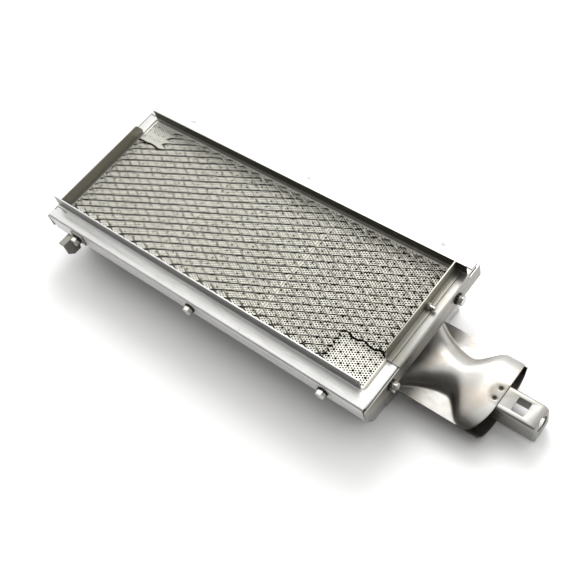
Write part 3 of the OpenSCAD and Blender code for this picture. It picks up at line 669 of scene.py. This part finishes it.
band = math_node("ROUND", math_node("DIVIDE", math_node("SUBTRACT", at["Y"], put(
    "ShaderNodeSeparateXYZ", {0: first.outputs[0]}).outputs["Y"]), given["Band Pitch"]))
turn_about = math_node("SUBTRACT", math_node("MULTIPLY", math_node("FLOORED_MODULO", band, 2.0), 2.0), 1.0)
# a zigzag with short flats at the bonds, each band out of step with the next
laps = math_node("DIVIDE", at["X"], given["Diamond Length"])
lap = math_node("FLOORED_MODULO", math_node("ADD", laps, 0.25), 1.0)
triangle = math_node("SUBTRACT", 1.0, math_node("MULTIPLY", math_node("ABSOLUTE", math_node(
    "SUBTRACT", math_node("MULTIPLY", lap, 2.0), 1.0)), 2.0))
blunt = put("ShaderNodeClamp", {"Value": math_node("MULTIPLY", triangle, 1.32), "Min": -1.0, "Max": 1.0})
wave = math_node("MULTIPLY", blunt.outputs[0], turn_about)
away = put("ShaderNodeCombineXYZ", {"Y": math_node("MULTIPLY", wave, given["Swing"]),
                                    "Z": math_node("MULTIPLY", wave, given["Rise"])})
zigzag = put("GeometryNodeSetPosition", {"Geometry": bands.outputs[0], "Offset": away.outputs[0]})
# the cut-away corners lie front right and back left
at = put("ShaderNodeSeparateXYZ", {0: put("GeometryNodeInputPosition").outputs[0]}).outputs
other_side = math_node("LESS_THAN", math_node("MULTIPLY", at["X"], at["Y"]), 0.0)
to_front = math_node("GREATER_THAN", at["X"], 0.0)
notch_size = put("ShaderNodeMix", {"Factor": to_front, "A": given["Back Notch"], "B": given["Front Notch"]},
                 data_type="VECTOR")
notch = put("ShaderNodeSeparateXYZ", {0: notch_size.outputs[1]}).outputs
start_x = math_node("SUBTRACT", given["Half Length"], notch["X"])
start_y = math_node("SUBTRACT", given["Half Width"], notch["Y"])
from_middle_x = math_node("ABSOLUTE", at["X"])
from_middle_y = math_node("ABSOLUTE", at["Y"])
far_x = math_node("GREATER_THAN", from_middle_x, start_x)
far_y = math_node("GREATER_THAN", from_middle_y, start_y)
gone = math_node("MULTIPLY", math_node("MULTIPLY", far_x, far_y), other_side)
# strands end in thick burrs where the corners were cut away
burr_x = math_node("GREATER_THAN", from_middle_x, math_node("SUBTRACT", start_x, given["Burr Length"]))
burr_y = math_node("GREATER_THAN", from_middle_y, math_node("SUBTRACT", start_y, given["Burr Length"]))
burr = math_node("MULTIPLY", math_node("MULTIPLY", burr_x, burr_y), other_side)
girth = math_node("ADD", 1.0, math_node("MULTIPLY", burr, given["Burr Growth"]))
cut = put("GeometryNodeDeleteGeometry", {"Geometry": zigzag.outputs[0], "Selection": gone}, domain="POINT")
level = put("GeometryNodeSetCurveNormal", {"Curve": cut.outputs[0]}, mode="Z_UP")
leaning = put("GeometryNodeSetCurveTilt", {"Curve": level.outputs[0], "Tilt": given["Lean"]})
section = put("GeometryNodeCurvePrimitiveQuadrilateral", {"Width": given["Strand Width"],
                                                         "Height": given["Strand Sheet"]})
eased = put("GeometryNodeFilletCurve", {"Curve": section.outputs[0], "Radius": math_node(
    "MULTIPLY", given["Strand Sheet"], 0.25)}, mode="POLY")
eased.inputs["Count"].default_value = 1
strands = put("GeometryNodeCurveToMesh", {"Curve": leaning.outputs[0], "Profile Curve": eased.outputs[0],
                                          "Scale": girth, "Fill Caps": True})
# raised in the middle, bent down over the last few millimetres, and a little uneven by hand
at = put("ShaderNodeSeparateXYZ", {0: put("GeometryNodeInputPosition").outputs[0]}).outputs
from_end = math_node("SUBTRACT", given["Half Length"], math_node("ABSOLUTE", at["X"]))
from_side = math_node("SUBTRACT", given["Half Width"], math_node("ABSOLUTE", at["Y"]))
near = math_node("MINIMUM", from_end, from_side)
bent = put("ShaderNodeMapRange", {"Value": near, "From Min": 0.0, "From Max": given["Edge Bend"],
                                  "To Min": math_node("MULTIPLY", given["Edge Drop"], -1.0), "To Max": 0.0},
           interpolation_type="SMOOTHERSTEP")
long_wave = math_node("SINE", math_node("MULTIPLY", at["X"], 31.0))
cross_wave = math_node("SINE", math_node("MULTIPLY", at["Y"], 57.0))
swell = math_node("MULTIPLY", math_node("MULTIPLY", long_wave, cross_wave), given["Swell"])
lift = put("ShaderNodeCombineXYZ", {"Z": math_node("ADD", math_node("ADD", bent.outputs[0], swell),
                                                   given["Middle Height"])})
laid = put("GeometryNodeSetPosition", {"Geometry": strands.outputs[0], "Offset": lift.outputs[0]})
real = put("GeometryNodeRealizeInstances", {0: laid.outputs[0]})
clad = put("GeometryNodeSetMaterial", {"Geometry": real.outputs[0], "Material": given["Steel"]})
put("NodeGroupOutput", {"Geometry": clad.outputs[0]})

lean_reach = STRAND_WIDTH * math.cos(STRAND_LEAN)
screen_mesh = new_piece("expanded_screen", [], [], screen_steel)
grow(screen_mesh, tree, {
    "Bands": int(2 * screen_y / BAND_PITCH), "Band Pitch": BAND_PITCH, "Diamond Length": DIAMOND_LONG,
    "Points": int(2 * screen_x / DIAMOND_LONG * POINTS_PER_DIAMOND) + 1,
    "Half Length": screen_x - RIM_CLEAR, "Half Width": screen_y - RIM_CLEAR,
    "Front Notch": (*FRONT_NOTCH, 0), "Back Notch": (*BACK_NOTCH, 0),
    "Burr Length": BURR_LENGTH, "Burr Growth": BURR_GROWTH,
    "Swing": (BAND_PITCH - lean_reach) / 2, "Rise": STRAND_WIDTH * math.sin(STRAND_LEAN) / 2,
    "Lean": STRAND_LEAN, "Middle Height": screen_top - TOP_CLEAR, "Swell": SWELL,
    "Edge Bend": EDGE_BEND, "Edge Drop": EDGE_DROP,
    "Strand Width": STRAND_WIDTH, "Strand Sheet": STRAND_SHEET, "Steel": screen_steel})
settle(screen_mesh)
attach(screen_mesh, "root")
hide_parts("screen")

# ---- Venturi ----
# Two pressed half shells, spot-welded together along flat seams: wide at the mouth, narrow at the
# throat, wide again in the pan. Heat has tinted both, and the bracket's welds mark the upper one.
SHELL_SHEET = 0.8 * MM
FLARE = 15 * MM
THROAT_BACK = 36 * MM
THROAT_HALF = 17 * MM
OUTLET_HALF = 31 * MM
MOUTH_UP = 9.4 * MM
MOUTH_DOWN = 17 * MM
THROAT_UP = 12.5 * MM
OUTLET_UP = 11.5 * MM
FOOT_R = 1.5 * MM
STATIONS = 84
ACROSS = 144
upper_low, upper_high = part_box("venturi_upper_shell")
seam_z = upper_low.z
seam_half = upper_high.y
outlet_x = upper_low.x
mouth_x = upper_high.x
flare_x = mouth_x - FLARE
throat_x = mouth_x - THROAT_BACK
mouth_half = seam_half - SHELL_SHEET
MOUTH_CORNER_START = 9 * MM
FRONT_TRIM = 12 * MM
BACK_TRIM = 3 * MM
# each weld mark is (place, full inside, gone outside, strength): two pits and the stain round them
WELD_PITS = [(mouth_x - 4.2 * MM, 4.4 * MM), (mouth_x - 4.2 * MM, -4.4 * MM)]
WELD_MARKS = [(pit, 1.4 * MM, 2.5 * MM, 1.0) for pit in WELD_PITS]
WELD_MARKS += [((mouth_x - 2 * MM, 0.8 * MM), 7.5 * MM, 10.5 * MM, 0.5)]
WELD_DENT = 1.1 * MM
WELD_DENT_R = 1.3 * MM


def ease_in(s):
    """From 0 to 1 with level ends."""
    return (1 - math.cos(math.pi * min(1, max(0, s)))) / 2


def arch(v, soft):
    """Height across the channel, from 1 in the middle to 0 at its foot; soft at the throat."""
    return (1 - min(1, abs(v)) ** (2.8 - 0.8 * soft)) ** (0.62 + 0.33 * soft)


def channel(x, mouth_rise):
    """Half width and height of the channel at x."""
    if x > throat_x:
        s = ease_in((x - throat_x) / (flare_x - throat_x))
        return (THROAT_HALF + (mouth_half - THROAT_HALF) * s, THROAT_UP + (mouth_rise - THROAT_UP) * s)
    s = (throat_x - x) / (throat_x - wall_x - 3 * MM)
    return (THROAT_HALF + (OUTLET_HALF - THROAT_HALF) * min(1, s) ** 2,
            THROAT_UP + (OUTLET_UP - THROAT_UP) * ease_in(s))


def shell_height(x, y, mouth_rise):
    """Outside height over the seam, with a rounded foot where the channel meets its flange."""
    half, rise = channel(x, mouth_rise)
    softness = 1 - ease_in(abs(x - throat_x) / (flare_x - throat_x))
    smoothed = [arch((abs(y) + FOOT_R * k / 3) / half, softness) for k in range(-3, 4)]
    dents = sum(math.exp(-((x - pit_x) ** 2 + (y - pit_y) ** 2) / WELD_DENT_R ** 2)
                for pit_x, pit_y in WELD_PITS)
    return SHELL_SHEET + (rise - SHELL_SHEET) * sum(smoothed) / len(smoothed) - WELD_DENT * dents


def press_shell(name, side, mouth_rise, material, front_trim, back_trim):
    """One half shell, side 1 above and -1 below, its mouth corners rounded back by the trims."""
    verts = []
    for i in range(STATIONS + 1):
        for j in range(ACROSS + 1):
            y = seam_half * (2 * j / ACROSS - 1)
            corner = min(1, max(0, (abs(y) - MOUTH_CORNER_START) / (seam_half - MOUTH_CORNER_START)))
            end_x = mouth_x - (front_trim if y < 0 else back_trim) * (1 - math.sqrt(1 - corner ** 2))
            x = outlet_x + (end_x - outlet_x) * i / STATIONS
            verts.append((x, y, seam_z + side * shell_height(x, y, mouth_rise)))
    step = ACROSS + 1
    faces = []
    for i in range(STATIONS):
        for j in range(ACROSS):
            a = i * step + j
            quad = (a, a + step, a + step + 1, a + 1)
            faces.append(quad if side == 1 else quad[::-1])
    shell = new_piece(name, verts, faces, material)
    give_sheet(shell, SHELL_SHEET)
    ease_rims(shell, 0.1 * MM)
    return shell


def shade_and_weld_stain(put, place):
    """The steep pressed walls that face the front are painted dark as painted shade; pits and a stain mark
    the bracket's welds.
    """
    facing = put("ShaderNodeSeparateXYZ", {0: put("ShaderNodeTexCoord").outputs["Normal"]}).outputs
    steep = put("ShaderNodeMapRange", {"Value": facing["Z"], "From Min": 0.55, "From Max": 0.96,
                                       "To Min": 0.86, "To Max": 0.0})
    front = put("ShaderNodeMapRange", {"Value": facing["Y"], "From Min": -0.45, "From Max": -0.1,
                                       "To Min": 1.0, "To Max": 0.0})
    most = put("ShaderNodeMath", {0: steep.outputs[0], 1: front.outputs[0]}, operation="MULTIPLY")
    flat = put("ShaderNodeVectorMath", {0: place, 1: (1, 1, 0)}, operation="MULTIPLY")
    for spot, inner, outer, amount in WELD_MARKS:
        away = put("ShaderNodeVectorMath", {0: flat.outputs[0], 1: (*spot, 0)}, operation="DISTANCE")
        mark = put("ShaderNodeMapRange", {"Value": away.outputs["Value"], "From Min": inner,
                                          "From Max": outer, "To Min": amount, "To Max": 0.0})
        most = put("ShaderNodeMath", {0: most.outputs[0], 1: mark.outputs[0]}, operation="MAXIMUM")
    return most.outputs[0]


venturi_steel = steel("venturi_steel", (0.40, 0.392, 0.372), 0.38, grain=(6, 14, 14), smudge=0.55,
                      tint=(0.40, 0.33, 0.26), tint_amount=0.4, bump=0.008, shade_and_stain=shade_and_weld_stain)
upper = press_shell("venturi_upper_half", 1, MOUTH_UP, venturi_steel, FRONT_TRIM, BACK_TRIM)
settle(upper)
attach(upper, "root")
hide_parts("venturi_upper_shell")
lower = press_shell("venturi_lower_half", -1, MOUTH_DOWN, venturi_steel, 0, 0)
settle(lower)
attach(lower, "root")
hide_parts("venturi_lower_shell")

# ---- Orifice bracket ----
# A short steel channel with a closed, rounded tip, spot-welded into the venturi's mouth. Its tip
# holds the gas orifice, and a square window lets air past.
BRACKET_SHEET = 1.2 * MM
TIP_R = 5 * MM
EDGE_R = 2.2 * MM
ORIFICE_R = 6.5 * MM
WINDOW_BEYOND_MOUTH = 14.5 * MM
WINDOW_SIZE = (10 * MM, 12 * MM, 8 * MM)
low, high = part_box("orifice_bracket")
bracket_steel = steel("bracket_steel", (0.30, 0.297, 0.282), 0.40, grain=(6, 60, 60), smudge=0.2,
                      tint=(0.50, 0.42, 0.32), tint_amount=0.25, pits=0.15)
bracket = new_piece("orifice_holder", [], [], bracket_steel)
body = bmesh.new()
bmesh.ops.create_cube(body, size=1, matrix=Matrix.Translation((low + high) / 2)
                      @ Matrix.Diagonal((*(high - low), 1)))


def edges_where(body, test):
    """The edges whose both ends pass a test."""
    return [e for e in body.edges if all(test(v.co) for v in e.verts)]


TOUCH = 1e-6
bmesh.ops.bevel(body, geom=edges_where(body, lambda p: p.x > high.x - TOUCH and p.z > high.z - TOUCH),
                offset=TIP_R, segments=8, profile=0.5, affect="EDGES")
sides = [e for e in body.edges if len(e.link_faces) == 2
         and abs(e.verts[0].co.y - e.verts[1].co.y) < TOUCH
         and any(abs(f.normal.y) > 0.9 for f in e.link_faces)
         and all(v.co.z > low.z + TOUCH or v.co.x > high.x - TOUCH for v in e.verts)
         and not any(f.normal.z < -0.9 or f.normal.x < -0.9 for f in e.link_faces)]
bmesh.ops.bevel(body, geom=sides, offset=EDGE_R, segments=5, profile=0.5, affect="EDGES")
open_faces = [f for f in body.faces if f.normal.z < -0.9 or f.normal.x < -0.9]
bmesh.ops.delete(body, geom=open_faces, context="FACES")
body.to_mesh(bracket.data)
body.free()
give_sheet(bracket, BRACKET_SHEET)
cutter = new_piece("bracket_cutter", [], [], bracket_steel)
body = bmesh.new()
bmesh.ops.create_cube(body, size=1,
                      matrix=Matrix.Translation((mouth_x + WINDOW_BEYOND_MOUTH, 0, high.z))
                      @ Matrix.Diagonal((*WINDOW_SIZE, 1)))
window_corners = [e for e in body.edges if abs(e.verts[0].co.z - e.verts[1].co.z) > TOUCH]
bmesh.ops.bevel(body, geom=window_corners, offset=0.8 * MM, segments=4, profile=0.5, affect="EDGES")
bmesh.ops.create_cone(body, cap_ends=True, segments=40, radius1=ORIFICE_R, radius2=ORIFICE_R, depth=8 * MM,
                      matrix=Matrix.Translation((high.x, 0, seam_z)) @ Matrix.Rotation(math.pi / 2, 4, "Y"))
body.to_mesh(cutter.data)
body.free()
cut_away(bracket, cutter)
ease_rims(bracket, 0.15 * MM)
settle(bracket)
bpy.data.objects.remove(cutter)
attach(bracket, "root")
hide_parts("orifice_bracket")

# ---- Mounting ear ----
# A thick folded steel ear under the front left bolt, its blade square to the rail.
ear_steel = steel("ear_steel", (0.24, 0.235, 0.215), 0.34, grain=(20, 20, 40), smudge=0.3,
                  tint=(0.40, 0.34, 0.26), tint_amount=0.3)
dress("mounting_ear", "hanging_ear", ear_steel, 0.3 * MM)

# ---- Fasteners ----
# Small plated hexagon bolts with black star washers through the skirts, and plain nuts inside.
# A longer screw with a nut outside holds the screen to the right lip.
bright = steel("fastener_steel", (0.62, 0.61, 0.57), 0.26, grain=(40, 40, 40), smudge=0.3, pits=0.4)
black = bpy.data.materials.new("washer_black")
black.use_nodes = True
add = clear_nodes(black.node_tree)
place = add("ShaderNodeTexCoord").outputs["Object"]
scuff = add("ShaderNodeTexNoise", {"Vector": place, "Scale": 600.0, "Detail": 3.0})
oxide = add("ShaderNodeMix", {"Factor": scuff.outputs[0],
                              "A": (0.012, 0.012, 0.013, 1), "B": (0.05, 0.045, 0.04, 1)}, data_type="RGBA")
blued = add("ShaderNodeBsdfPrincipled", {"Base Color": oxide.outputs["Result"], "Metallic": 0.6,
                                         "Roughness": 0.42})
add("ShaderNodeOutputMaterial", {"Surface": blued.outputs[0]})
for node, piece in (("side_bolts", "side_bolt_heads"), ("end_bolts", "end_bolt_heads"),
                    ("side_nuts", "side_inner_nuts"), ("end_nuts", "end_inner_nuts"),
                    ("screen_screw", "screen_screw_body"), ("screen_nut", "screen_lock_nut")):
    dress(node, piece, bright, 0.18 * MM)
for node, piece in (("side_washers", "side_star_washers"), ("end_washers", "end_star_washers")):
    dress(node, piece, black, 0.1 * MM)
